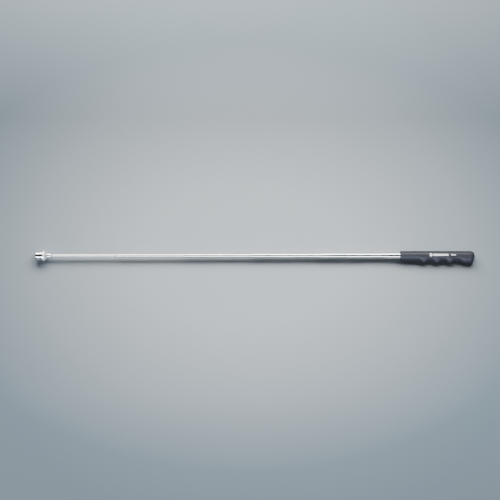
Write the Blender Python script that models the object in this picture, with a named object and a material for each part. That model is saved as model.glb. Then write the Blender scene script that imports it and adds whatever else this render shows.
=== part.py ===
"""Telescopic magnetic pickup tool, drawn out to its full length.

Six round tube stages slide in one another on pairs of half-round friction shells. The thinnest
stage carries the magnet head, and the thickest sits in a soft cushion grip with finger lobes.

Frame: the origin is the centre of the magnet's working face. +X runs along the tool to the grip,
+Z is up, and the finger lobes point to -Y. Lengths in this file are in millimetres, and MM turns
them into metres.
"""

import math

import bmesh
import bpy

MM = 0.001

# ---- driving dimensions (mm) ----

# Tube stages. Stage 1 is the thickest and sits in the grip, and the last one carries the head.
STAGES = 6
TIP_TUBE_DIAMETER = 5.6
TUBE_WALL = 0.36
TUBE_GAP = 0.30  # radial, between a stage's outside and the bore of the stage round it
EXPOSED_LENGTH = 130.6  # from one stage's front lip to the next one's, drawn out
TIP_EXPOSED_LENGTH = 121.2  # from the neck ferrule to the first lip
NEST_STEP = 2.0  # how far each lip stays ahead of the next one, pushed in

# Rolled front lip, which guides the next stage and stops its shells
LIP_LENGTH = 2.5
LIP_TAPER = 1.3
LIP_INSET = 0.26  # how far the lip's front edge is rolled in
LIP_RAMP = 0.3

# Friction shells, in a groove near the rear end of each sliding stage
SHELL_LENGTH = 12.0
SHELL_SWEEP = math.radians(168)
GROOVE_DEPTH = 0.14
REAR_BEAD = 1.5

# Clearances
RUNNING_GAP = 0.06  # radial, between pieces that slide or turn on each other
SEATED_GAP = 0.1  # radial, between pieces that are fixed to each other
FACE_GAP = 0.3  # along the tool, between faces that meet

# Magnet head
MAGNET_DIAMETER = 12.0
MAGNET_LENGTH = 12.0
SPACER_WALL = 1.0
SPACER_RECESS = 0.5
CAP_NOSE_WALL = 1.34
CAP_NOSE_LENGTH = 6.9
CAP_STEP = 0.5  # how far the cap's body stands out round its nose
CAP_NOTCH_WIDTH = 0.4
CAP_NOTCH_DEPTH = 0.35
FLANGE_STEP = 1.25  # how far the flange stands out round the cap's body
FLANGE_LENGTH = 2.6
CONE_LENGTH = 4.6
CONE_END_STEP = 0.3  # how far the cone's end stands out round the neck
BOSS_HEIGHT = 1.0
HEAD_CHAMFER = 0.35

# Rivet that holds the head on the neck
RIVET_SHANK_DIAMETER = 3.2
RIVET_HEAD_DIAMETER = 8.0
RIVET_TAIL_GAP = 0.24  # radial, between its spread tail and the bore of the thinnest stage
RIVET_HEAD_HEIGHT = 0.9
COUNTERBORE_DEPTH = 1.4

# Neck ferrule on the front end of the thinnest stage
NECK_WALL = 2.2
NECK_LENGTH = 10.0
NECK_TAPER_LENGTH = 3.0
NECK_END_WALL = 0.35
NECK_FRONT_WALL = 2.5

# Plug in the rear end of the thickest stage
PLUG_SHANK_LENGTH = 5.0
PLUG_FLANGE_HEIGHT = 1.5

# Cushion grip
GRIP_WALL = 2.6
GRIP_TUBE_SHOWING = 22.5  # how far the thickest stage stands out of the grip
GRIP_TAIL_WALL = 12.0
GRIP_DOME_LENGTH = 8.5
GRIP_TAIL_FLAT_DIAMETER = 7.0
GRIP_MOUTH_ROUND = 1.2
LOBE_HEIGHT = 5.2
LOBE_PITCH = 24.8
LOBE_COUNT = 3
LOBE_SHARPNESS = 1.35  # above 1, the ridges are narrower than the finger hollows
FIRST_LOBE = 46.2  # from the grip's mouth to the first ridge
TAIL_LOBE_RISE = 17.0

# Facets
TUBE_SIDES = 32
SHELL_STEPS = 12
GRIP_SIDES = 32
LOBE_STEPS = 8
DOME_STEPS = 5

# ---- sizes worked out from them ----

STAGE_STEP = TUBE_WALL + TUBE_GAP
SHELL_FRONT = LIP_LENGTH + LIP_RAMP + FACE_GAP  # behind the front edge of the stage round it
GROOVE_LENGTH = SHELL_LENGTH + 2 * FACE_GAP
OVERLAP = SHELL_FRONT - FACE_GAP + GROOVE_LENGTH + REAR_BEAD
SPACER_RADIUS = MAGNET_DIAMETER / 2 + SEATED_GAP + SPACER_WALL
CAP_BORE = SPACER_RADIUS + RUNNING_GAP
CAP_NOSE_RADIUS = CAP_BORE + CAP_NOSE_WALL
CAP_BODY_RADIUS = CAP_NOSE_RADIUS + CAP_STEP
FLANGE_RADIUS = CAP_BODY_RADIUS + FLANGE_STEP
BOSS_FRONT = MAGNET_LENGTH + FACE_GAP
FLANGE_FRONT = BOSS_FRONT + BOSS_HEIGHT
CAP_LENGTH = FLANGE_FRONT - FACE_GAP
FLANGE_BACK = FLANGE_FRONT + FLANGE_LENGTH
CONE_END = FLANGE_BACK + CONE_LENGTH
NECK_FRONT = CONE_END + FACE_GAP
NECK_END = NECK_FRONT + NECK_LENGTH
TIP_TUBE_FRONT = NECK_FRONT + NECK_FRONT_WALL + FACE_GAP
RIVET_HOLE = RIVET_SHANK_DIAMETER / 2 + SEATED_GAP
COUNTERBORE_FLOOR = BOSS_FRONT + COUNTERBORE_DEPTH
TIP_BORE = TIP_TUBE_DIAMETER / 2 + SEATED_GAP  # of the ferrule, round the thinnest stage
RIVET_TAIL_RADIUS = TIP_TUBE_DIAMETER / 2 - TUBE_WALL - RIVET_TAIL_GAP
NECK_RADIUS = TIP_BORE + NECK_WALL
GRIP_BORE = TIP_TUBE_DIAMETER / 2 + (STAGES - 1) * STAGE_STEP + SEATED_GAP
GRIP_RADIUS = GRIP_BORE + GRIP_WALL
PUSH_IN = EXPOSED_LENGTH - NEST_STEP


def outer_radius(stage):
    """The outside radius of a stage, counted from 1 at the grip."""
    return TIP_TUBE_DIAMETER / 2 + (STAGES - stage) * STAGE_STEP


def front_edge(stage):
    """Where a stage's front edge is along the tool."""
    if stage == STAGES:
        return TIP_TUBE_FRONT
    return NECK_END + TIP_EXPOSED_LENGTH + (STAGES - 1 - stage) * EXPOSED_LENGTH


def rear_edge(stage):
    """Where a stage's rear edge is along the tool."""
    if stage == 1:
        return front_edge(1) + OVERLAP + PUSH_IN + FACE_GAP + PLUG_SHANK_LENGTH
    return front_edge(stage - 1) + OVERLAP


# ---- materials ----


def finish(name, colour, roughness, metallic):
    material = bpy.data.materials.new(name)
    material.use_nodes = True
    shader = material.node_tree.nodes["Principled BSDF"]
    shader.inputs["Base Color"].default_value = (*colour, 1.0)
    shader.inputs["Roughness"].default_value = roughness
    shader.inputs["Metallic"].default_value = metallic
    material.diffuse_color = (*colour, 1.0)
    return material


# ---- shapes ----


def placed(name, work, material):
    """Turns the finished bmesh into a named, smooth-shaded object."""
    bmesh.ops.remove_doubles(work, verts=work.verts, dist=1e-7)
    bmesh.ops.recalc_face_normals(work, faces=work.faces)
    mesh = bpy.data.meshes.new(name)
    work.to_mesh(mesh)
    work.free()
    mesh.shade_smooth()
    mesh.set_sharp_from_angle(angle=math.radians(30))
    mesh.materials.append(material)
    piece = bpy.data.objects.new(name, mesh)
    bpy.context.scene.collection.objects.link(piece)
    return piece


def turned(name, outline, material, hollow=True, sides=TUBE_SIDES):
    """A piece turned about the tool's axis. The outline holds (along, radius) points: a closed
    loop round the wall if the piece is hollow, or a line from axis to axis if it is solid."""
    work = bmesh.new()
    points = [work.verts.new((along * MM, 0.0, radius * MM)) for along, radius in outline]
    following = points[1:] + points[:1] if hollow else points[1:]
    lines = [work.edges.new(pair) for pair in zip(points, following)]
    bmesh.ops.spin(
        work,
        geom=points + lines,
        cent=(0, 0, 0),
        axis=(1, 0, 0),
        angle=2 * math.pi,
        steps=sides,
    )
    return placed(name, work, material)


def half_shell(name, outline, middle, material):
    """A closed outline swept part of the way round the axis, with `middle` as the sweep's middle
    angle, counted from +Z."""
    work = bmesh.new()
    first = middle - SHELL_SWEEP / 2
    rings = []
    for step in range(SHELL_STEPS + 1):
        angle = first + SHELL_SWEEP * step / SHELL_STEPS
        across, up = math.sin(angle), math.cos(angle)
        rings.append(
            [work.verts.new((x * MM, r * across * MM, r * up * MM)) for x, r in outline]
        )
    count = len(outline)
    for here, there in zip(rings, rings[1:]):
        for i in range(count):
            j = (i + 1) % count
            work.faces.new((here[i], here[j], there[j], there[i]))
    work.faces.new(rings[0])
    work.faces.new(rings[-1])
    return placed(name, work, material)


def lofted(name, sections, material, sides=GRIP_SIDES):
    """A solid through a row of (along, radius, lobe) sections. Each is a circle whose -Y half is
    stretched by the lobe. The first and the last section are closed with a flat face."""
    work = bmesh.new()
    rings = []
    for along, radius, lobe in sections:
        ring = []
        for i in range(sides):
            angle = 2 * math.pi * i / sides
            front = math.cos(angle)
            reach = radius + (lobe if front > 0 else 0.0)
            ring.append(
                work.verts.new((along * MM, -reach * front * MM, radius * math.sin(angle) * MM))
            )
        rings.append(ring)
    for here, there in zip(rings, rings[1:]):
        for i in range(sides):
            j = (i + 1) % sides
            work.faces.new((here[i], here[j], there[j], there[i]))
    work.faces.new(rings[0])
    work.faces.new(rings[-1])
    return placed(name, work, material)


# ---- magnet head ----


def magnet(material):
    radius = MAGNET_DIAMETER / 2
    outline = [
        (0, 0),
        (0, radius - HEAD_CHAMFER),
        (HEAD_CHAMFER, radius),
        (MAGNET_LENGTH - HEAD_CHAMFER, radius),
        (MAGNET_LENGTH, radius - HEAD_CHAMFER),
        (MAGNET_LENGTH, 0),
    ]
    return turned("magnet", outline, material, hollow=False)


def spacer_sleeve(material):
    inside = SPACER_RADIUS - SPACER_WALL
    outline = [
        (SPACER_RECESS, inside),
        (SPACER_RECESS, SPACER_RADIUS),
        (CAP_LENGTH, SPACER_RADIUS),
        (CAP_LENGTH, inside),
    ]
    return turned("spacer_sleeve", outline, material)


def focus_cap(material):
    """The pull-off steel cap, stepped, with a fine notch between its nose and its body."""
    notch_front = CAP_NOSE_LENGTH - CAP_NOTCH_WIDTH / 2
    notch_back = CAP_NOSE_LENGTH + CAP_NOTCH_WIDTH / 2
    outline = [
        (0, CAP_BORE),
        (0, CAP_NOSE_RADIUS - 2 * HEAD_CHAMFER),
        (HEAD_CHAMFER, CAP_NOSE_RADIUS - HEAD_CHAMFER / 2),
        (3 * HEAD_CHAMFER, CAP_NOSE_RADIUS),
        (notch_front, CAP_NOSE_RADIUS),
        (notch_front, CAP_NOSE_RADIUS - CAP_NOTCH_DEPTH),
        (notch_back, CAP_NOSE_RADIUS - CAP_NOTCH_DEPTH),
        (notch_back, CAP_BODY_RADIUS - HEAD_CHAMFER),
        (notch_back + HEAD_CHAMFER, CAP_BODY_RADIUS),
        (CAP_LENGTH - HEAD_CHAMFER, CAP_BODY_RADIUS),
        (CAP_LENGTH, CAP_BODY_RADIUS - HEAD_CHAMFER),
        (CAP_LENGTH, CAP_BORE),
    ]
    return turned("focus_cap", outline, material)


def head_base(material):
    """Flange and cone that the magnet stands on, bored for the rivet."""
    boss = MAGNET_DIAMETER / 2
    counterbore = RIVET_HEAD_DIAMETER / 2 + SEATED_GAP
    outline = [
        (BOSS_FRONT, counterbore),
        (BOSS_FRONT, boss),
        (FLANGE_FRONT, boss),
        (FLANGE_FRONT, FLANGE_RADIUS - HEAD_CHAMFER),
        (FLANGE_FRONT + HEAD_CHAMFER, FLANGE_RADIUS),
        (FLANGE_BACK - HEAD_CHAMFER, FLANGE_RADIUS),
        (FLANGE_BACK, FLANGE_RADIUS - HEAD_CHAMFER),
        (CONE_END, NECK_RADIUS + CONE_END_STEP),
        (CONE_END, RIVET_HOLE),
        (COUNTERBORE_FLOOR, RIVET_HOLE),
        (COUNTERBORE_FLOOR, counterbore),
    ]
    return turned("head_base", outline, material)


def head_rivet(material):
    head_back = COUNTERBORE_FLOOR - FACE_GAP
    tail_front = TIP_TUBE_FRONT
    shank = RIVET_SHANK_DIAMETER / 2
    outline = [
        (head_back - RIVET_HEAD_HEIGHT, 0),
        (head_back - RIVET_HEAD_HEIGHT, RIVET_HEAD_DIAMETER / 2),
        (head_back, RIVET_HEAD_DIAMETER / 2),
        (head_back, shank),
        (tail_front, shank),
        (tail_front, RIVET_TAIL_RADIUS),
        (tail_front + RIVET_HEAD_HEIGHT, RIVET_TAIL_RADIUS),
        (tail_front + RIVET_HEAD_HEIGHT, 0),
    ]
    return turned("head_rivet", outline, material, hollow=False)


def neck_ferrule(material):
    """Sleeve over the front end of the thinnest stage. Its front wall takes the rivet."""
    wall_back = NECK_FRONT + NECK_FRONT_WALL
    outline = [
        (NECK_FRONT, RIVET_HOLE),
        (NECK_FRONT, NECK_RADIUS - HEAD_CHAMFER),
        (NECK_FRONT + HEAD_CHAMFER, NECK_RADIUS),
        (NECK_END - NECK_TAPER_LENGTH, NECK_RADIUS),
        (NECK_END, TIP_BORE + NECK_END_WALL),
        (NECK_END, TIP_BORE),
        (wall_back, TIP_BORE),
        (wall_back, RIVET_HOLE),
    ]
    return turned("neck_ferrule", outline, material)


# ---- tube stages ----


def lip_outside(stage):
    """The outside of a stage's rolled lip, front edge first."""
    front = front_edge(stage)
    radius = outer_radius(stage)
    return [
        (front, radius - LIP_INSET),
        (front + LIP_TAPER / 3, radius - LIP_INSET / 3),
        (front + LIP_TAPER, radius),
    ]


def lip_inside(stage):
    """The bore of a stage's rolled lip, which the next stage slides in, rear end first."""
    front = front_edge(stage)
    bore = outer_radius(stage) - TUBE_WALL
    guide = outer_radius(stage + 1) + RUNNING_GAP
    return [
        (front + LIP_LENGTH + LIP_RAMP, bore),
        (front + LIP_LENGTH, guide),
        (front, guide),
    ]


def groove_span(stage):
    """Front and rear end of the groove that holds a sliding stage's shells."""
    back = rear_edge(stage) - REAR_BEAD
    return back - GROOVE_LENGTH, back


def tube(stage, material):
    radius = outer_radius(stage)
    bore = radius - TUBE_WALL
    rear = rear_edge(stage)
    if stage < STAGES:
        outline = lip_outside(stage)
    else:
        outline = [(front_edge(stage), radius)]
    if stage > 1:
        groove_front, groove_back = groove_span(stage)
        outline += [
            (groove_front, radius),
            (groove_front, radius - GROOVE_DEPTH),
            (groove_back, radius - GROOVE_DEPTH),
            (groove_back, radius),
        ]
    outline += [(rear, radius), (rear, bore)]
    if stage < STAGES:
        outline += lip_inside(stage)
    else:
        outline += [(front_edge(stage), bore)]
    return turned(f"tube_{stage}", outline, material)


def friction_shells(stage, material):
    """The two spring shells in a sliding stage's groove. They grip the bore of the stage round it."""
    inside = outer_radius(stage) - GROOVE_DEPTH + RUNNING_GAP
    outside = outer_radius(stage) + TUBE_GAP - RUNNING_GAP
    groove_front, groove_back = groove_span(stage)
    front, back = groove_front + FACE_GAP, groove_back - FACE_GAP
    outline = [(front, inside), (front, outside), (back, outside), (back, inside)]
    for side, middle in (("upper", 0.0), ("lower", math.pi)):
        half_shell(f"shell_{stage}_{side}", outline, middle, material)


def end_plug(material):
    """Closes the rear end of the thickest stage and stops the stages as they are pushed in."""
    rear = rear_edge(1)
    shank = outer_radius(1) - TUBE_WALL - SEATED_GAP
    flange = outer_radius(1)
    outline = [
        (rear - PLUG_SHANK_LENGTH, 0),
        (rear - PLUG_SHANK_LENGTH, shank),
        (rear + FACE_GAP, shank),
        (rear + FACE_GAP, flange),
        (rear + FACE_GAP + PLUG_FLANGE_HEIGHT, flange),
        (rear + FACE_GAP + PLUG_FLANGE_HEIGHT, 0),
    ]
    return turned("end_plug", outline, material, hollow=False)


# ---- grip ----


def grip_front():
    return front_edge(1) + GRIP_TUBE_SHOWING


def grip_bore_end():
    return rear_edge(1) + 2 * FACE_GAP + PLUG_FLANGE_HEIGHT


def lobe_height(along):
    """How far the finger side stands out at this distance from the grip's mouth."""
    first_valley = FIRST_LOBE - LOBE_PITCH / 2
    last_valley = first_valley + LOBE_COUNT * LOBE_PITCH
    if along <= first_valley:
        return 0.0
    if along < last_valley:
        turn = 2 * math.pi * (along - first_valley) / LOBE_PITCH
    else:
        turn = math.pi * min((along - last_valley) / TAIL_LOBE_RISE, 1.0)
    return LOBE_HEIGHT * ((1 - math.cos(turn)) / 2) ** LOBE_SHARPNESS


def grip_outside():
    """Sections of the grip's outside, from its mouth to its tail."""
    front = grip_front()
    sections = [
        (front, GRIP_RADIUS - GRIP_MOUTH_ROUND, 0.0),
        (front + GRIP_MOUTH_ROUND / 3, GRIP_RADIUS - GRIP_MOUTH_ROUND / 3, 0.0),
        (front + GRIP_MOUTH_ROUND, GRIP_RADIUS, 0.0),
    ]
    first_valley = FIRST_LOBE - LOBE_PITCH / 2
    steps = LOBE_COUNT * LOBE_STEPS
    for step in range(steps + 1):
        along = first_valley + step * LOBE_PITCH / LOBE_STEPS
        sections.append((front + along, GRIP_RADIUS, lobe_height(along)))
    last_valley = first_valley + LOBE_COUNT * LOBE_PITCH
    for step in range(1, LOBE_STEPS + 1):
        along = last_valley + TAIL_LOBE_RISE * step / LOBE_STEPS
        sections.append((front + along, GRIP_RADIUS, lobe_height(along)))
    dome_start = grip_bore_end() + GRIP_TAIL_WALL - GRIP_DOME_LENGTH - front
    flat = GRIP_TAIL_FLAT_DIAMETER / (2 * GRIP_RADIUS)
    for step in range(DOME_STEPS + 1):
        turn = math.pi / 2 * step / DOME_STEPS
        size = flat + (1 - flat) * math.cos(turn)
        along = dome_start + GRIP_DOME_LENGTH * math.sin(turn)
        sections.append((front + along, GRIP_RADIUS * size, lobe_height(along) * size))
    return sections


def grip(material):
    """Soft cushion sleeve, closed at its tail, with a blind bore for the thickest stage."""
    piece = lofted("grip", grip_outside(), material)
    outline = [
        (grip_front() - GRIP_MOUTH_ROUND, 0),
        (grip_front() - GRIP_MOUTH_ROUND, GRIP_BORE),
        (grip_bore_end(), GRIP_BORE),
        (grip_bore_end(), 0),
    ]
    cutter = turned("grip_bore_cutter", outline, material, hollow=False)
    cutter.hide_render = True
    cutter.display_type = "WIRE"
    cut = piece.modifiers.new("bore", "BOOLEAN")
    cut.operation = "DIFFERENCE"
    cut.object = cutter
    return piece


# ---- assembly ----


def main():
    for old in list(bpy.data.objects):
        bpy.data.objects.remove(old)
    chrome = finish("chrome_plate", (0.80, 0.80, 0.79), 0.10, 1.0)
    head_chrome = finish("head_chrome", (0.78, 0.77, 0.75), 0.14, 1.0)
    steel = finish("rivet_steel", (0.55, 0.55, 0.55), 0.35, 1.0)
    nickel = finish("magnet_nickel", (0.70, 0.69, 0.66), 0.22, 1.0)
    brass = finish("spacer_brass", (0.72, 0.55, 0.27), 0.30, 1.0)
    bronze = finish("shell_bronze", (0.66, 0.43, 0.24), 0.35, 1.0)
    plastic = finish("plug_plastic", (0.12, 0.12, 0.12), 0.5, 0.0)
    vinyl = finish("grip_vinyl", (0.035, 0.04, 0.055), 0.45, 0.0)

    magnet(nickel)
    spacer_sleeve(brass)
    focus_cap(head_chrome)
    head_base(head_chrome)
    head_rivet(steel)
    neck_ferrule(head_chrome)
    for stage in range(STAGES, 0, -1):
        tube(stage, chrome)
        if stage > 1:
            friction_shells(stage, bronze)
    end_plug(plastic)
    grip(vinyl)


main()
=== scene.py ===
"""Looks for the telescopic magnetic pickup tool: bright plated tubes and head, and a satin vinyl
grip with finger ridges and a plain printed mark. It lies on a pale studio floor under long softboxes.

The tool lies along +X with its magnet face at the origin. Lengths here are in metres.
"""

import math

import bmesh
import bpy
from mathutils import Matrix, Vector

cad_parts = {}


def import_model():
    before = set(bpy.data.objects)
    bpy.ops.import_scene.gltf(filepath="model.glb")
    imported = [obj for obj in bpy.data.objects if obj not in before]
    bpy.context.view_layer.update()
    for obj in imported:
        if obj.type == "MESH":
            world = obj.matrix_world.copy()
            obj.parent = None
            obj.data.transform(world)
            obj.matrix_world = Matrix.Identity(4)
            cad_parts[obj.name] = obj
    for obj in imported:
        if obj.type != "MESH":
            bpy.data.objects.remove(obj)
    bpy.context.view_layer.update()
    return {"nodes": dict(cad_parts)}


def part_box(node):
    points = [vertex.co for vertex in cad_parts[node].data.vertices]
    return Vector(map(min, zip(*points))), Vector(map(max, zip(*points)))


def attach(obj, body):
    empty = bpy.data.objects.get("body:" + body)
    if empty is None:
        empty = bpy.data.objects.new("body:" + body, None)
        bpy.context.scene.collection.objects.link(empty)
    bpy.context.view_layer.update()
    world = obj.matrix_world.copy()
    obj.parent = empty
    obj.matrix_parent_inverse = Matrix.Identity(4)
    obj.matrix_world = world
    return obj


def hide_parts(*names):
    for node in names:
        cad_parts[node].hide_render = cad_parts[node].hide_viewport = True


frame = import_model()

MM = 0.001
SLIDING_STAGES = (2, 3, 4, 5, 6)
THINNEST_STAGE = max(SLIDING_STAGES)

# The studio's wall. The far floor glows like it too, as painted light standing in for a lit sweep
WALL_COLOUR = (0.86, 0.91, 1.0)
WALL_GLOW = 0.36

# Fineness of the meshes
TURNED_SIDES = 128
GRIP_SIDES = 128
CORNER_STEPS = 4
LIP_STEPS = 8
MOUTH_STEPS = 8
DOME_STEPS = 16
MERGE_DISTANCE = 0.0001 * MM

# Clearances, as the CAD pieces have them
RUNNING_GAP = 0.06 * MM
SEATED_GAP = 0.1 * MM


# ---- helpers for shapes ----


def arc_corner(before, corner, after, radius):
    """Points of a round corner that joins two straight runs of an outline. It takes up less than
    half of each run."""
    here = Vector(corner)
    back = Vector(before) - here
    ahead = Vector(after) - here
    reach = min(radius, back.length * 0.45, ahead.length * 0.45)
    start = here + back.normalized() * reach
    end = here + ahead.normalized() * reach
    points = []
    for step in range(CORNER_STEPS + 1):
        t = step / CORNER_STEPS
        points.append(start * (1 - t) ** 2 + here * 2 * t * (1 - t) + end * t**2)
    return [tuple(p) for p in points]


def eased(outline, closed=True):
    """An outline of (along, radius, corner radius) points with its corners rounded."""
    flat = [(along, radius) for along, radius, _ in outline]
    points = []
    for i, (along, radius, ease) in enumerate(outline):
        at_end = not closed and i in (0, len(outline) - 1)
        if ease == 0 or at_end:
            points.append((along, radius))
            continue
        points += arc_corner(flat[i - 1], flat[i], flat[(i + 1) % len(flat)], ease)
    return points


def smooth_piece(name, work, sharp_degrees=35):
    """An object from a bmesh, shaded smooth apart from its sharp edges."""
    bmesh.ops.remove_doubles(work, verts=work.verts, dist=MERGE_DISTANCE)
    bmesh.ops.recalc_face_normals(work, faces=work.faces)
    mesh = bpy.data.meshes.new(name)
    work.to_mesh(mesh)
    work.free()
    mesh.shade_smooth()
    mesh.set_sharp_from_angle(angle=math.radians(sharp_degrees))
    piece = bpy.data.objects.new(name, mesh)
    bpy.context.scene.collection.objects.link(piece)
    return piece


def turned(name, outline, closed=True, sides=TURNED_SIDES):
    """A piece turned about the X axis from (along, radius) points."""
    work = bmesh.new()
    points = [work.verts.new((along, 0.0, radius)) for along, radius in outline]
    following = points[1:] + points[:1] if closed else points[1:]
    lines = [work.edges.new(pair) for pair in zip(points, following)]
    bmesh.ops.spin(
        work,
        geom=points + lines,
        cent=(0, 0, 0),
        axis=(1, 0, 0),
        angle=2 * math.pi,
        steps=sides,
    )
    return smooth_piece(name, work)


# ---- helpers for materials ----


class Nodes:
    """A short way to write a procedural material. The scales of its noise are per metre, so 2600
    along an axis gives marks about 0.4 mm apart."""

    def __init__(self, name, colour, roughness, metallic):
        self.material = bpy.data.materials.new(name)
        self.material.use_nodes = True
        self.tree = self.material.node_tree
        self.shader = self.tree.nodes["Principled BSDF"]
        self.shader.inputs["Base Color"].default_value = (*colour, 1.0)
        self.shader.inputs["Roughness"].default_value = roughness
        self.shader.inputs["Metallic"].default_value = metallic

    def add(self, kind, **settings):
        node = self.tree.nodes.new("ShaderNode" + kind)
        for key, value in settings.items():
            setattr(node, key, value)
        return node

    def link(self, source, target):
        self.tree.links.new(source, target)

    def place(self, scale, shift=(0.0, 0.0, 0.0)):
        """Object coordinates stretched by a scale for each axis, then shifted."""
        where = self.add("TexCoord")
        mapping = self.add("Mapping")
        mapping.inputs["Scale"].default_value = scale
        mapping.inputs["Location"].default_value = shift
        self.link(where.outputs["Object"], mapping.inputs["Vector"])
        return mapping.outputs["Vector"]

    def round_place(self, scale):
        """Coordinates along and away from the tool's axis, for marks that run round a piece."""
        where = self.add("TexCoord")
        split = self.add("SeparateXYZ")
        self.link(where.outputs["Object"], split.inputs["Vector"])
        flat = self.add("CombineXYZ")
        self.link(split.outputs["Y"], flat.inputs["X"])
        self.link(split.outputs["Z"], flat.inputs["Y"])
        joined = self.add("CombineXYZ")
        self.link(split.outputs["X"], joined.inputs["X"])
        self.link(self.length(flat.outputs["Vector"]), joined.inputs["Y"])
        mapping = self.add("Mapping")
        mapping.inputs["Scale"].default_value = scale
        self.link(joined.outputs["Vector"], mapping.inputs["Vector"])
        return mapping.outputs["Vector"]

    def noise(self, vector, scale, detail=3.0, rough=0.5):
        node = self.add("TexNoise")
        node.inputs["Scale"].default_value = scale
        node.inputs["Detail"].default_value = detail
        node.inputs["Roughness"].default_value = rough
        self.link(vector, node.inputs["Vector"])
        return node.outputs["Fac"]

    def spread(self, value, low, high, start=0.0, end=1.0):
        node = self.add("MapRange")
        node.inputs["From Min"].default_value = start
        node.inputs["From Max"].default_value = end
        node.inputs["To Min"].default_value = low
        node.inputs["To Max"].default_value = high
        self.link(value, node.inputs["Value"])
        return node.outputs["Result"]

    def blend(self, factor, first, second):
        node = self.add("Mix", data_type="RGBA")
        node.inputs["A"].default_value = (*first, 1.0)
        node.inputs["B"].default_value = (*second, 1.0)
        self.link(factor, node.inputs["Factor"])
        return node.outputs["Result"]

    def towards(self, factor, source, colour):
        """A colour that other nodes give, mixed towards a fixed one."""
        node = self.add("Mix", data_type="RGBA")
        node.inputs["B"].default_value = (*colour, 1.0)
        self.link(factor, node.inputs["Factor"])
        self.link(source, node.inputs["A"])
        return node.outputs["Result"]

    def length(self, vector):
        node = self.add("VectorMath", operation="LENGTH")
        self.link(vector, node.inputs[0])
        return node.outputs["Value"]

    def bump(self, height, strength, distance, before=None):
        node = self.add("Bump")
        node.inputs["Strength"].default_value = strength
        node.inputs["Distance"].default_value = distance
        self.link(height, node.inputs["Height"])
        if before is not None:
            self.link(before, node.inputs["Normal"])
        return node.outputs["Normal"]

    def set(self, socket, value):
        self.link(value, self.shader.inputs[socket])


# ---- materials ----

TOOL_MARK_DEPTH = 0.02 * MM
SURFACE_GRAIN_DEPTH = 0.03 * MM
VINYL_GRAIN_DEPTH = 0.06 * MM
PAPER_GRAIN_DEPTH = 0.2 * MM


def tube_chrome():
    """Bright plate over drawn tube: faint lines along the tube and a slightly uneven polish."""
    m = Nodes("tube_chrome", (0.63, 0.63, 0.62), 0.06, 1.0)
    lines = m.noise(m.place((12, 2600, 2600)), 1.0, 4.0, 0.6)
    clouds = m.noise(m.place((30, 160, 160)), 1.0, 2.0)
    m.set("Roughness", m.spread(clouds, 0.03, 0.07, 0.3, 0.7))
    m.set("Base Color", m.blend(lines, (0.60, 0.60, 0.59), (0.66, 0.66, 0.65)))
    m.set("Normal", m.bump(lines, 0.12, TOOL_MARK_DEPTH))
    return m.material


def turned_chrome(name, smoothest, roughest):
    """Bright plate over lathe-turned steel, with the fine rings that the tool left."""
    m = Nodes(name, (0.66, 0.66, 0.65), smoothest, 1.0)
    rings = m.noise(m.round_place((9000, 9000, 1)), 1.0, 3.0, 0.6)
    clouds = m.noise(m.place((220, 220, 220)), 1.0, 2.0)
    m.set("Roughness", m.spread(clouds, smoothest, roughest, 0.3, 0.7))
    m.set("Base Color", m.blend(clouds, (0.64, 0.64, 0.63), (0.70, 0.70, 0.69)))
    m.set("Normal", m.bump(rings, 0.15, TOOL_MARK_DEPTH))
    return m.material


def satin_chrome():
    """The same plate over a blasted surface, which spreads its highlights."""
    m = Nodes("satin_chrome", (0.86, 0.86, 0.85), 0.4, 1.0)
    blast = m.noise(m.place((2600, 2600, 2600)), 1.0, 2.0)
    clouds = m.noise(m.place((220, 220, 220)), 1.0, 2.0)
    m.set("Roughness", m.spread(clouds, 0.38, 0.46, 0.3, 0.7))
    m.set("Base Color", m.blend(clouds, (0.90, 0.90, 0.89), (0.95, 0.95, 0.94)))
    m.set("Normal", m.bump(blast, 0.15, TOOL_MARK_DEPTH))
    return m.material


def magnet_nickel():
    """Nickel plate on a sintered magnet: warm grey with a faint orange-peel surface."""
    m = Nodes("magnet_nickel", (0.66, 0.63, 0.57), 0.24, 1.0)
    peel = m.noise(m.place((1400, 1400, 1400)), 1.0, 2.0)
    rub = m.noise(m.place((500, 90, 700)), 1.0, 3.0)
    m.set("Roughness", m.spread(rub, 0.18, 0.34, 0.3, 0.7))
    m.set("Base Color", m.blend(rub, (0.60, 0.57, 0.51), (0.70, 0.67, 0.61)))
    m.set("Normal", m.bump(peel, 0.25, SURFACE_GRAIN_DEPTH))
    return m.material


def spacer_brass():
    """Turned brass with rings from the tool and a thin, uneven tarnish."""
    m = Nodes("spacer_brass", (0.72, 0.53, 0.25), 0.3, 1.0)
    rings = m.noise(m.round_place((7000, 7000, 1)), 1.0, 3.0)
    tarnish = m.noise(m.place((600, 600, 600)), 1.0, 3.0)
    m.set("Base Color", m.blend(tarnish, (0.60, 0.42, 0.20), (0.78, 0.60, 0.31)))
    m.set("Roughness", m.spread(tarnish, 0.24, 0.42, 0.3, 0.7))
    m.set("Normal", m.bump(rings, 0.2, TOOL_MARK_DEPTH))
    return m.material


def shell_bronze():
    """Rolled spring bronze, with lines along the strip."""
    m = Nodes("shell_bronze", (0.64, 0.42, 0.23), 0.34, 1.0)
    lines = m.noise(m.place((60, 3000, 3000)), 1.0, 3.0)
    m.set("Base Color", m.blend(lines, (0.56, 0.35, 0.18), (0.70, 0.48, 0.28)))
    m.set("Roughness", m.spread(lines, 0.28, 0.42))
    return m.material


def rivet_steel():
    """Plain steel, a little marked by the press."""
    m = Nodes("rivet_steel", (0.50, 0.50, 0.49), 0.36, 1.0)
    marks = m.noise(m.place((900, 900, 900)), 1.0, 3.0)
    m.set("Base Color", m.blend(marks, (0.42, 0.42, 0.41), (0.58, 0.58, 0.57)))
    m.set("Roughness", m.spread(marks, 0.30, 0.45))
    return m.material


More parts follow.
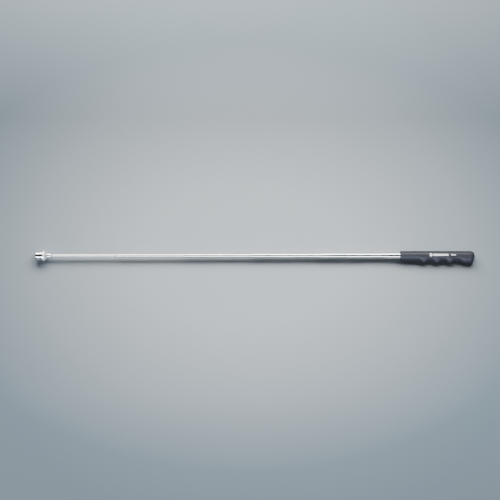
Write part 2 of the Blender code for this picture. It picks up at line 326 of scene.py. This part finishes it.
def plug_plastic():
    """Black moulded plastic with a fine spark-eroded grain."""
    m = Nodes("plug_plastic", (0.03, 0.03, 0.032), 0.5, 0.0)
    grain = m.noise(m.place((1500, 1500, 1500)), 1.0, 2.0)
    m.set("Roughness", m.spread(grain, 0.45, 0.6))
    m.set("Normal", m.bump(grain, 0.2, SURFACE_GRAIN_DEPTH))
    return m.material


def grip_vinyl():
    """Satin blue-black vinyl with a fine leathery mould grain, slightly duller patches and a few
    paler specks of dust."""
    m = Nodes("grip_vinyl", (0.032, 0.033, 0.041), 0.5, 0.0)
    m.shader.inputs["Specular IOR Level"].default_value = 0.16
    grain = m.noise(m.place((1900, 1900, 1900)), 1.0, 2.0, 0.55)
    clouds = m.noise(m.place((55, 90, 90)), 1.0, 3.0)
    dust = m.noise(m.place((700, 1100, 1100)), 1.0, 4.0, 0.65)
    shade = m.blend(clouds, (0.019, 0.020, 0.026), (0.026, 0.027, 0.034))
    speck = m.spread(dust, 0.0, 0.25, 0.58, 0.80)
    m.set("Base Color", m.towards(speck, shade, (0.075, 0.078, 0.085)))
    m.set("Roughness", m.spread(clouds, 0.44, 0.53, 0.3, 0.7))
    m.set("Normal", m.bump(grain, 0.35, VINYL_GRAIN_DEPTH))
    return m.material


def print_ink():
    """White screen-print ink, a little thinner in places."""
    m = Nodes("print_ink", (0.90, 0.91, 0.93), 0.45, 0.0)
    thin = m.noise(m.place((2500, 2500, 2500)), 1.0, 3.0)
    m.set("Base Color", m.blend(thin, (0.84, 0.85, 0.87), (0.94, 0.95, 0.96)))
    m.set("Roughness", m.spread(thin, 0.42, 0.58))
    return m.material


# The floor's painted shade, by how far a point is from the floor's middle
PAINTED_SHADE_MIDDLE = 0.20  # share of the painted shade's darker colour at the middle
PAINTED_SHADE_METRE = 0.62  # and at one metre from it, along the tool
PAINTED_LIGHT_OVAL = (1.0, 1.5, 0.0)  # the painted pool of light is longer along the tool than across it
PAINTED_LIGHT_SHIFT = (0.02, 0.0, 0.0)
# Painted shade across the tool: half width of the slope from the near factor to the far factor
PAINTED_SHADE_HALF_WIDTH = 0.27
NEAR_SHADE = 1.60
FAR_SHADE = 0.50
# Painted light: the floor starts to glow at this distance from its middle, fully at the next
PAINTED_GLOW_FROM = 0.56
PAINTED_GLOW_FULL_AT = 1.5


def floor_grey():
    """Backdrop paper with painted shade: darker and bluer away from the tool, darker towards the far
    side and lighter towards the near side, which leaves a painted pool of light round the tool.
    Outside the reach of the lights it glows faintly: painted light that stands in for the lit sweep
    of a studio."""
    m = Nodes("floor_grey", (0.37, 0.395, 0.405), 0.6, 0.0)
    clouds = m.noise(m.place((3, 3, 3)), 1.0, 3.0)
    grain = m.noise(m.place((420, 420, 420)), 1.0, 2.0)
    off_middle = m.length(m.place(PAINTED_LIGHT_OVAL, PAINTED_LIGHT_SHIFT))
    # Painted shade: edge is the share of the darker, bluer colour, growing with distance from the
    # floor's middle
    edge = m.spread(off_middle, 0.0, 1.0, PAINTED_SHADE_MIDDLE, PAINTED_SHADE_METRE)
    pale = m.blend(clouds, (0.352, 0.398, 0.440), (0.368, 0.412, 0.452))
    painted_vignette = m.towards(edge, pale, (0.140, 0.198, 0.250))
    split = m.add("SeparateXYZ")
    m.link(m.place((1, 1, 1)), split.inputs["Vector"])
    # Painted shade: the colour is scaled up on the near side and down on the far side
    painted_slope = m.spread(
        split.outputs["Y"], NEAR_SHADE, FAR_SHADE, -PAINTED_SHADE_HALF_WIDTH, PAINTED_SHADE_HALF_WIDTH
    )
    painted_shade_mix = m.add("VectorMath", operation="SCALE")
    m.link(painted_vignette, painted_shade_mix.inputs[0])
    m.link(painted_slope, painted_shade_mix.inputs["Scale"])
    m.set("Base Color", painted_shade_mix.outputs["Vector"])
    m.set("Normal", m.bump(grain, 0.05, PAPER_GRAIN_DEPTH))
    # Painted light: the far floor emits the wall's colour, as though it were lit
    m.shader.inputs["Emission Color"].default_value = (*WALL_COLOUR, 1.0)
    far = m.length(m.place((1.0, 1.0, 0.0)))
    m.set("Emission Strength", m.spread(far, 0.0, WALL_GLOW, PAINTED_GLOW_FROM, PAINTED_GLOW_FULL_AT))
    return m.material


def dress(piece, material):
    """Gives a piece this material alone."""
    piece.data.materials.clear()
    piece.data.materials.append(material)


# ---- tubes ----

# Sizes that the CAD boxes don't hold
TUBE_WALL = 0.36 * MM
GROOVE_DEPTH = 0.14 * MM
GROOVE_LENGTH = 12.6 * MM
REAR_BEAD = 1.5 * MM
LIP_LENGTH = 2.5 * MM
LIP_RAMP = 0.3 * MM
LIP_INSET = 0.26 * MM
LIP_ROLL = 1.6 * MM
TUBE_EDGE = 0.05 * MM  # rounding of a tube's edges


def body_of(stage):
    return "handle" if stage == 1 else f"stage_{stage}"


def tube(stage, material):
    """One stage: a rolled lip at its front, and a groove for its friction shells near its rear."""
    low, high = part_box(f"tube_{stage}")
    front, rear, radius = low.x, high.x, high.z
    bore = radius - TUBE_WALL
    edge = radius - LIP_INSET
    if stage == THINNEST_STAGE:
        outline = [(front, bore, TUBE_EDGE), (front, radius, TUBE_EDGE)]
    else:
        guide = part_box(f"tube_{stage + 1}")[1].z + RUNNING_GAP
        outline = [(front, guide, TUBE_EDGE), (front, edge, TUBE_EDGE)]
        # the rolled lip: a quarter-wave from its front edge out to the full diameter
        for step in range(1, LIP_STEPS + 1):
            done = step / LIP_STEPS
            rise = LIP_INSET * math.sin(math.pi / 2 * done)
            outline.append((front + LIP_ROLL * done, edge + rise, 0))
    if stage > 1:
        back = rear - REAR_BEAD
        outline += [
            (back - GROOVE_LENGTH, radius, TUBE_EDGE),
            (back - GROOVE_LENGTH, radius - GROOVE_DEPTH, 0),
            (back, radius - GROOVE_DEPTH, 0),
            (back, radius, TUBE_EDGE),
        ]
    outline += [(rear, radius, TUBE_EDGE), (rear, bore, TUBE_EDGE)]
    if stage < THINNEST_STAGE:
        outline += [(front + LIP_LENGTH + LIP_RAMP, bore, 0), (front + LIP_LENGTH, guide, 0)]
    piece = turned(f"bright_tube_{stage}", eased(outline))
    dress(piece, material)
    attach(piece, body_of(stage))
    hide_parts(f"tube_{stage}")


# ---- grip ----

GRIP_MOUTH_ROUND = 1.2 * MM
MOUTH_CHAMFER_LENGTH = 0.4 * MM
MOUTH_CHAMFER_HEIGHT = 0.3 * MM
LOBE_HEIGHT = 5.2 * MM
LOBE_PITCH = 24.8 * MM
LOBE_COUNT = 3
LOBE_SHARPNESS = 1.35
FIRST_LOBE = 46.2 * MM
TAIL_LOBE_RISE = 17.0 * MM
DOME_LENGTH = 8.5 * MM
TAIL_FLAT_RADIUS = 3.5 * MM
TAIL_WALL = 12.0 * MM
GATE_RADIUS = 1.05 * MM  # the round sunk mark in the tail, where the mould was filled
GATE_DEPTH = 0.3 * MM
GATE_TAPER = 0.07 * MM
NEAR_AXIS = 0.02  # share of its radius that closes a flat end
SEAM_HEIGHT = 0.12 * MM
SEAM_SPREAD = math.radians(1.6)
SEAM_RUN_IN = 6.0 * MM
GRIP_STEP = 0.8 * MM


def lobe_height(along):
    """How far the finger side stands out, at a distance from the grip's mouth."""
    first_valley = FIRST_LOBE - LOBE_PITCH / 2
    last_valley = first_valley + LOBE_COUNT * LOBE_PITCH
    if along <= first_valley:
        return 0.0
    if along < last_valley:
        turn = 2 * math.pi * (along - first_valley) / LOBE_PITCH
    else:
        turn = math.pi * min((along - last_valley) / TAIL_LOBE_RISE, 1.0)
    return LOBE_HEIGHT * ((1 - math.cos(turn)) / 2) ** LOBE_SHARPNESS


def grip_sections():
    """(along, radius, lobe, seam) sections of the grip, from its bore's end round to its tail."""
    low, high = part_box("grip")
    front, tail, radius = low.x, high.x, high.z
    length = tail - front
    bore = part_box("tube_1")[1].z + SEATED_GAP
    sections = [
        (tail - TAIL_WALL, bore * NEAR_AXIS, 0.0, 0.0),
        (tail - TAIL_WALL, bore, 0.0, 0.0),
        (front + MOUTH_CHAMFER_LENGTH, bore, 0.0, 0.0),
        (front, bore + MOUTH_CHAMFER_HEIGHT, 0.0, 0.0),
    ]
    for step in range(MOUTH_STEPS + 1):
        turn = math.pi / 2 * step / MOUTH_STEPS
        along = GRIP_MOUTH_ROUND * (1 - math.cos(turn))
        drop = GRIP_MOUTH_ROUND * (1 - math.sin(turn))
        sections.append((front + along, radius - drop, 0.0, 0.0))
    dome_start = length - DOME_LENGTH
    count = round((dome_start - GRIP_MOUTH_ROUND) / GRIP_STEP)
    for step in range(1, count + 1):
        along = GRIP_MOUTH_ROUND + (dome_start - GRIP_MOUTH_ROUND) * step / count
        seam = SEAM_HEIGHT * min(along / SEAM_RUN_IN, 1.0)
        sections.append((front + along, radius, lobe_height(along), seam))
    flat = TAIL_FLAT_RADIUS / radius
    for step in range(1, DOME_STEPS + 1):
        turn = math.pi / 2 * step / DOME_STEPS
        size = flat + (1 - flat) * math.cos(turn)
        along = dome_start + DOME_LENGTH * math.sin(turn)
        seam = SEAM_HEIGHT * (1 - step / DOME_STEPS)
        sections.append((front + along, radius * size, lobe_height(along) * size, seam))
    sections.append((tail, GATE_RADIUS, 0.0, 0.0))
    sections.append((tail - GATE_DEPTH, GATE_RADIUS - GATE_TAPER, 0.0, 0.0))
    sections.append((tail - GATE_DEPTH, TAIL_FLAT_RADIUS * NEAR_AXIS, 0.0, 0.0))
    return sections


def grip(material):
    """The cushion sleeve: egg-shaped sections stretched to the finger side, with the fine raised
    line where the halves of its mould met."""
    work = bmesh.new()
    rings = []
    for along, radius, lobe, seam in grip_sections():
        ring = []
        for i in range(GRIP_SIDES):
            angle = 2 * math.pi * i / GRIP_SIDES
            front = math.cos(angle)
            off_seam = min(angle % math.pi, math.pi - angle % math.pi)
            ridge = seam * math.exp(-((off_seam / SEAM_SPREAD) ** 2))
            reach = radius + ridge + (lobe if front > 0 else 0.0)
            ring.append(
                work.verts.new((along, -reach * front, (radius + ridge) * math.sin(angle)))
            )
        rings.append(ring)
    for here, there in zip(rings, rings[1:]):
        for i in range(GRIP_SIDES):
            j = (i + 1) % GRIP_SIDES
            work.faces.new((here[i], here[j], there[j], there[i]))
    work.faces.new(rings[0])
    work.faces.new(rings[-1])
    piece = smooth_piece("cushion_grip", work, 50)
    dress(piece, material)
    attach(piece, "handle")
    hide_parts("grip")
    return piece


# ---- printed mark ----

GRIP_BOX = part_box("grip")
INK_HEIGHT = 0.06 * MM
INK_ROOT = 0.05 * MM
INK_STEPS = 5
MARK_MIDDLE = 1.4 * MM  # round the grip from its top line, away from the finger side
HORSESHOE_MIDDLE = 755.2 * MM
HORSESHOE_RADIUS = 1.9 * MM
HORSESHOE_LEG = 2.3 * MM
HORSESHOE_WIDTH = 1.7 * MM
HORSESHOE_STEPS = 12
STRIPES = (
    # first stripe, pitch, count, height, width
    (761.4 * MM, 3.25 * MM, 9, 3.6 * MM, 2.1 * MM),
    (794.8 * MM, 2.3 * MM, 4, 2.4 * MM, 1.1 * MM),
)
STRIPE_LEAN = 0.35


def skin_point(along, across, lift):
    """A point over the grip's skin, across being the distance round it from its top line."""
    radius = GRIP_BOX[1].z
    angle = math.pi / 2 + across / radius
    side = math.cos(angle)
    reach = radius + (lobe_height(along - GRIP_BOX[0].x) if side > 0 else 0.0)
    outward = Vector((0.0, -radius * side, reach * math.sin(angle))).normalized()
    return Vector((along, -reach * side, radius * math.sin(angle))) + outward * lift


def ink_stroke(work, path, width):
    """A thin raised film of ink, `width` wide, along a path of (along, across) points."""
    rings = []
    for i, point in enumerate(path):
        here = Vector(point)
        run = Vector(path[min(i + 1, len(path) - 1)]) - Vector(path[max(i - 1, 0)])
        side = Vector((-run.y, run.x)).normalized() * width / 2
        upper, lower = [], []
        for step in range(INK_STEPS + 1):
            flat = here + side * (2 * step / INK_STEPS - 1)
            upper.append(work.verts.new(skin_point(flat.x, flat.y, INK_HEIGHT)))
            lower.append(work.verts.new(skin_point(flat.x, flat.y, -INK_ROOT)))
        rings.append(upper + lower[::-1])
    count = len(rings[0])
    for here, there in zip(rings, rings[1:]):
        for i in range(count):
            j = (i + 1) % count
            work.faces.new((here[i], here[j], there[j], there[i]))
    work.faces.new(rings[0])
    work.faces.new(rings[-1])


def straight(start, end, steps=6):
    """A path of even steps from one point to another."""
    first, last = Vector(start), Vector(end)
    return [tuple(first.lerp(last, i / steps)) for i in range(steps + 1)]


def printed_mark(material):
    """A plain horseshoe magnet and two rows of slanted stripes, printed on the grip."""
    work = bmesh.new()
    bend = []
    for step in range(HORSESHOE_STEPS + 1):
        turn = math.pi * step / HORSESHOE_STEPS
        along = HORSESHOE_MIDDLE + HORSESHOE_RADIUS * math.sin(turn)
        across = MARK_MIDDLE + HORSESHOE_RADIUS * math.cos(turn)
        bend.append((along, across))
    tip = HORSESHOE_MIDDLE - HORSESHOE_LEG
    first_tip = (tip, MARK_MIDDLE + HORSESHOE_RADIUS)
    last_tip = (tip, MARK_MIDDLE - HORSESHOE_RADIUS)
    path = straight(first_tip, bend[0])[:-1] + bend + straight(bend[-1], last_tip)[1:]
    ink_stroke(work, path, HORSESHOE_WIDTH)
    for first, pitch, count, height, width in STRIPES:
        for i in range(count):
            middle = first + pitch * i
            lean = height * STRIPE_LEAN / 2
            path = straight(
                (middle + lean, MARK_MIDDLE - height / 2),
                (middle - lean, MARK_MIDDLE + height / 2),
            )
            ink_stroke(work, path, width)
    piece = smooth_piece("grip_print", work)
    dress(piece, material)
    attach(piece, "handle")
    return piece


# ---- magnet head ----

# Sizes that the CAD boxes don't hold
CAP_STEP = 0.5 * MM
CAP_NOTCH_PLACE = 6.9 * MM
CAP_NOTCH_WIDTH = 0.4 * MM
CAP_NOTCH_DEPTH = 0.35 * MM
BOSS_HEIGHT = 1.0 * MM
FLANGE_LENGTH = 2.6 * MM
CONE_END_STEP = 0.3 * MM
RIVET_HOLE_RADIUS = 1.7 * MM
COUNTERBORE_RADIUS = 4.1 * MM
COUNTERBORE_DEPTH = 1.4 * MM
NECK_FRONT_WALL = 2.5 * MM
NECK_TAPER_LENGTH = 3.0 * MM
NECK_END_WALL = 0.35 * MM
SPACER_WALL = 1.0 * MM


def head_piece(name, node, body, outline, material, closed=True):
    """A turned piece of the head, in place of its CAD node."""
    piece = turned(name, eased(outline, closed), closed)
    dress(piece, material)
    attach(piece, body)
    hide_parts(node)
    return piece


def focus_cap(material):
    """The cap round the magnet: a nose, a fine turned groove, and a slightly wider body."""
    low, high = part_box("focus_cap")
    back, body = high.x, high.z
    nose = body - CAP_STEP
    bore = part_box("spacer_sleeve")[1].z + RUNNING_GAP
    notch_front = CAP_NOTCH_PLACE - CAP_NOTCH_WIDTH / 2
    notch_back = CAP_NOTCH_PLACE + CAP_NOTCH_WIDTH / 2
    outline = [
        (low.x, bore, 0.15 * MM),
        (low.x, nose, 0.7 * MM),
        (notch_front, nose, 0.12 * MM),
        (notch_front, nose - CAP_NOTCH_DEPTH, 0.08 * MM),
        (notch_back, nose - CAP_NOTCH_DEPTH, 0.08 * MM),
        (notch_back, body, 0.45 * MM),
        (back, body, 0.4 * MM),
        (back, bore, 0.15 * MM),
    ]
    return head_piece(
        "bright_focus_cap", "focus_cap", "cap", outline, material
    )


def head_base(material):
    """The boss behind the magnet, the flange and the cone, with a stepped hole for the rivet."""
    low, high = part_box("head_base")
    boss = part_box("magnet")[1].z
    flange = high.z
    flange_front = low.x + BOSS_HEIGHT
    flange_back = flange_front + FLANGE_LENGTH
    cone_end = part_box("neck_ferrule")[1].z + CONE_END_STEP
    shelf = low.x + COUNTERBORE_DEPTH
    outline = [
        (low.x, COUNTERBORE_RADIUS, 0.1 * MM),
        (low.x, boss, 0.1 * MM),
        (flange_front, boss, 0),
        (flange_front, flange, 0.35 * MM),
        (flange_back, flange, 0.45 * MM),
        (high.x, cone_end, 0.25 * MM),
        (high.x, RIVET_HOLE_RADIUS, 0.1 * MM),
        (shelf, RIVET_HOLE_RADIUS, 0.1 * MM),
        (shelf, COUNTERBORE_RADIUS, 0),
    ]
    return head_piece(
        "bright_head_base", "head_base", "stage_6", outline, material
    )


def neck_ferrule(material):
    """The neck, closed in front apart from the rivet's hole, and tapered down to the tube."""
    low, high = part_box("neck_ferrule")
    outside = high.z
    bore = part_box("tube_6")[1].z + SEATED_GAP
    wall_back = low.x + NECK_FRONT_WALL
    outline = [
        (low.x, RIVET_HOLE_RADIUS, 0.1 * MM),
        (low.x, outside, 0.35 * MM),
        (high.x - NECK_TAPER_LENGTH, outside, 1.2 * MM),
        (high.x, bore + NECK_END_WALL, 0.2 * MM),
        (high.x, bore, 0.08 * MM),
        (wall_back, bore, 0),
        (wall_back, RIVET_HOLE_RADIUS, 0),
    ]
    return head_piece(
        "bright_neck_ferrule", "neck_ferrule", "stage_6", outline, material
    )


def spacer_sleeve(material):
    """The plain sleeve between the magnet and the cap."""
    low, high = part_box("spacer_sleeve")
    outside = high.z
    inside = outside - SPACER_WALL
    outline = [
        (low.x, inside, 0.12 * MM),
        (low.x, outside, 0.12 * MM),
        (high.x, outside, 0.12 * MM),
        (high.x, inside, 0.12 * MM),
    ]
    return head_piece(
        "turned_spacer_sleeve", "spacer_sleeve", "stage_6", outline, material
    )


def magnet(material):
    """A round bar with softly rounded edges."""
    low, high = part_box("magnet")
    radius = high.z
    outline = [
        (low.x, 0.0, 0),
        (low.x, radius, 0.4 * MM),
        (high.x, radius, 0.4 * MM),
        (high.x, 0.0, 0),
    ]
    return head_piece(
        "plated_magnet", "magnet", "stage_6", outline, material, closed=False
    )


# ---- studio ----

MIDDLE = Vector((0.42, 0.0, 0.0))
FLANGE_MIDDLE = 14.6 * MM
FLOOR_GAP = 0.02 * MM
FLOOR_SIZE = 6.0
CAMERA_TARGET = Vector((0.4099, 0.0109, 0.0))
CAMERA_DISTANCE = 2.4
CAMERA_ELEVATION = math.radians(88)
FRAME_WIDTH = 0.9578
SENSOR_WIDTH_MM = 36.0

# Light colours
WARM = (1.0, 0.97, 0.935)
COOL = (0.82, 0.89, 1.0)
COLD = (0.70, 0.78, 1.0)

# The world's strengths and where its wall gets dark
AIR_GLOW = 0.02
CEILING_GLOW = 0.02
WALL_TOP = 0.5
FRONT_SHARE = 0.15  # of the wall's glow, for what gloss sees in front


def floor(material):
    """A level bench under the tool, which lies on its flange and its thinner grip: in the tool's own
    frame the bench rises a little towards the grip."""
    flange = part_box("head_base")[0]
    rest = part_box("grip")[0]
    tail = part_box("grip")[1]
    rise = (rest.z - flange.z) / (tail.x - FLANGE_MIDDLE)
    level = flange.z + rise * (MIDDLE.x - FLANGE_MIDDLE) - FLOOR_GAP
    bpy.ops.mesh.primitive_plane_add(size=FLOOR_SIZE, location=(MIDDLE.x, 0.0, level))
    plane = bpy.context.object
    plane.rotation_euler = (0.0, -math.atan(rise), 0.0)
    plane.name = "studio_floor"
    dress(plane, material)


def soft_light(name, size, left, right, distance, radiance, colour, shift=0.0):
    """A flat softbox along the tool. left and right say how far each of its ends leans from
    straight overhead, in degrees, with + to the tool's far side. shift moves it along the tool."""
    data = bpy.data.lights.new(name, "AREA")
    data.shape = "RECTANGLE"
    data.size, data.size_y = size
    data.energy = radiance * math.pi * size[0] * size[1]
    data.color = colour
    lamp = bpy.data.objects.new(name, data)
    ends = []
    for side, lean in ((-1, left), (1, right)):
        tilt = math.radians(lean)
        reach = Vector((side * size[0] / 2, distance * math.sin(tilt), distance * math.cos(tilt)))
        ends.append(MIDDLE + reach)
    centre = (ends[0] + ends[1]) / 2
    along = (ends[1] - ends[0]).normalized()
    away = (centre - MIDDLE).normalized()
    across = away.cross(along).normalized()
    away = along.cross(across)
    turn = Matrix((along, across, away)).transposed()
    centre.x += shift
    lamp.matrix_world = Matrix.Translation(centre) @ turn.to_4x4()
    bpy.context.scene.collection.objects.link(lamp)
    return lamp


def keep_light_on(lamp, pieces):
    """The lamp lights only these pieces, like one that is flagged off everything else."""
    lit = bpy.data.collections.new(lamp.name + "_receivers")
    for piece in pieces:
        lit.objects.link(piece)
    lamp.light_linking.receiver_collection = lit


def lights(filled_pieces):
    """A warm softbox behind the tool, which throws its shadow forward, and a card beside it that
    only the gloss sees. In front, a cool strip that only the gloss sees, and a fill that lights
    the grip, its print, the cap and the head's base."""
    key = soft_light(
        "back_softbox", (1.4, 0.46), left=60, right=39, distance=1.0, radiance=20.5, colour=WARM
    )
    key.visible_glossy = False
    card = soft_light(
        "back_card", (1.4, 0.34), left=57, right=54, distance=1.0, radiance=27.0, colour=WARM
    )
    card.visible_diffuse = False
    strip = soft_light(
        "front_strip",
        (1.2, 0.16),
        left=-38,
        right=-38,
        distance=0.9,
        radiance=22.0,
        colour=COOL,
        shift=-0.10,
    )
    strip.visible_diffuse = False
    fill = soft_light(
        "front_fill", (1.3, 0.30), left=-48, right=-48, distance=1.2, radiance=26.0, colour=COLD
    )
    keep_light_on(fill, filled_pieces)


def world():
    """Dim air for the light on the bench. The camera sees a pale wall that gets darker towards
    the ceiling. Gloss sees the same wall on the far side and a dark room in front."""
    scene = bpy.context.scene
    scene.world = bpy.data.worlds.new("studio")
    scene.world.use_nodes = True
    nodes, links = scene.world.node_tree.nodes, scene.world.node_tree.links
    background = nodes["Background"]
    background.inputs["Color"].default_value = (*WALL_COLOUR, 1.0)
    where = nodes.new("ShaderNodeTexCoord")
    split = nodes.new("ShaderNodeSeparateXYZ")
    path = nodes.new("ShaderNodeLightPath")
    links.new(where.outputs["Generated"], split.inputs["Vector"])

    def ramp(value, start, end, low, high):
        node = nodes.new("ShaderNodeMapRange")
        node.interpolation_type = "SMOOTHSTEP"
        node.inputs["From Min"].default_value = start
        node.inputs["From Max"].default_value = end
        node.inputs["To Min"].default_value = low
        node.inputs["To Max"].default_value = high
        links.new(value, node.inputs["Value"])
        return node.outputs["Result"]

    def joined(operation, first, second):
        node = nodes.new("ShaderNodeMath")
        node.operation = operation
        links.new(first, node.inputs[0])
        links.new(second, node.inputs[1])
        return node.outputs["Value"]

    wall = ramp(split.outputs["Z"], 0.0, WALL_TOP, WALL_GLOW, CEILING_GLOW)
    far_side = ramp(split.outputs["Y"], -0.2, 0.4, FRONT_SHARE, 1.0)
    mirrored = joined("MULTIPLY", path.outputs["Is Glossy Ray"], far_side)
    seen = joined("MAXIMUM", path.outputs["Is Camera Ray"], mirrored)
    strength = nodes.new("ShaderNodeMix")
    strength.inputs["A"].default_value = AIR_GLOW
    links.new(seen, strength.inputs["Factor"])
    links.new(wall, strength.inputs["B"])
    links.new(strength.outputs["Result"], background.inputs["Strength"])


def camera():
    """A long lens, almost straight overhead, which sees the whole tool from end to end."""
    data = bpy.data.cameras.new("camera")
    data.sensor_width = SENSOR_WIDTH_MM
    data.lens = SENSOR_WIDTH_MM * CAMERA_DISTANCE / FRAME_WIDTH
    eye = bpy.data.objects.new("camera", data)
    back = Vector((0.0, -math.cos(CAMERA_ELEVATION), math.sin(CAMERA_ELEVATION)))
    eye.location = CAMERA_TARGET + back * CAMERA_DISTANCE
    eye.rotation_euler = (-back).to_track_quat("-Z", "Y").to_euler()
    bpy.context.scene.collection.objects.link(eye)
    bpy.context.scene.camera = eye


def main():
    """The whole scene. The shells, the rivet and the plug keep their CAD shapes."""
    camera()
    world()
    floor(floor_grey())
    bright = tube_chrome()
    for stage in (1, *SLIDING_STAGES):
        tube(stage, bright)
    cap = focus_cap(turned_chrome("cap_chrome", 0.15, 0.22))
    base = head_base(satin_chrome())
    neck_ferrule(turned_chrome("neck_chrome", 0.05, 0.10))
    spacer_sleeve(spacer_brass())
    magnet(magnet_nickel())
    sleeve = grip(grip_vinyl())
    mark = printed_mark(print_ink())
    lights([sleeve, mark, cap, base])
    bronze = shell_bronze()
    for stage in SLIDING_STAGES:
        for side in ("upper", "lower"):
            dress(frame["nodes"][f"shell_{stage}_{side}"], bronze)
    dress(frame["nodes"]["head_rivet"], rivet_steel())
    dress(frame["nodes"]["end_plug"], plug_plastic())


main()
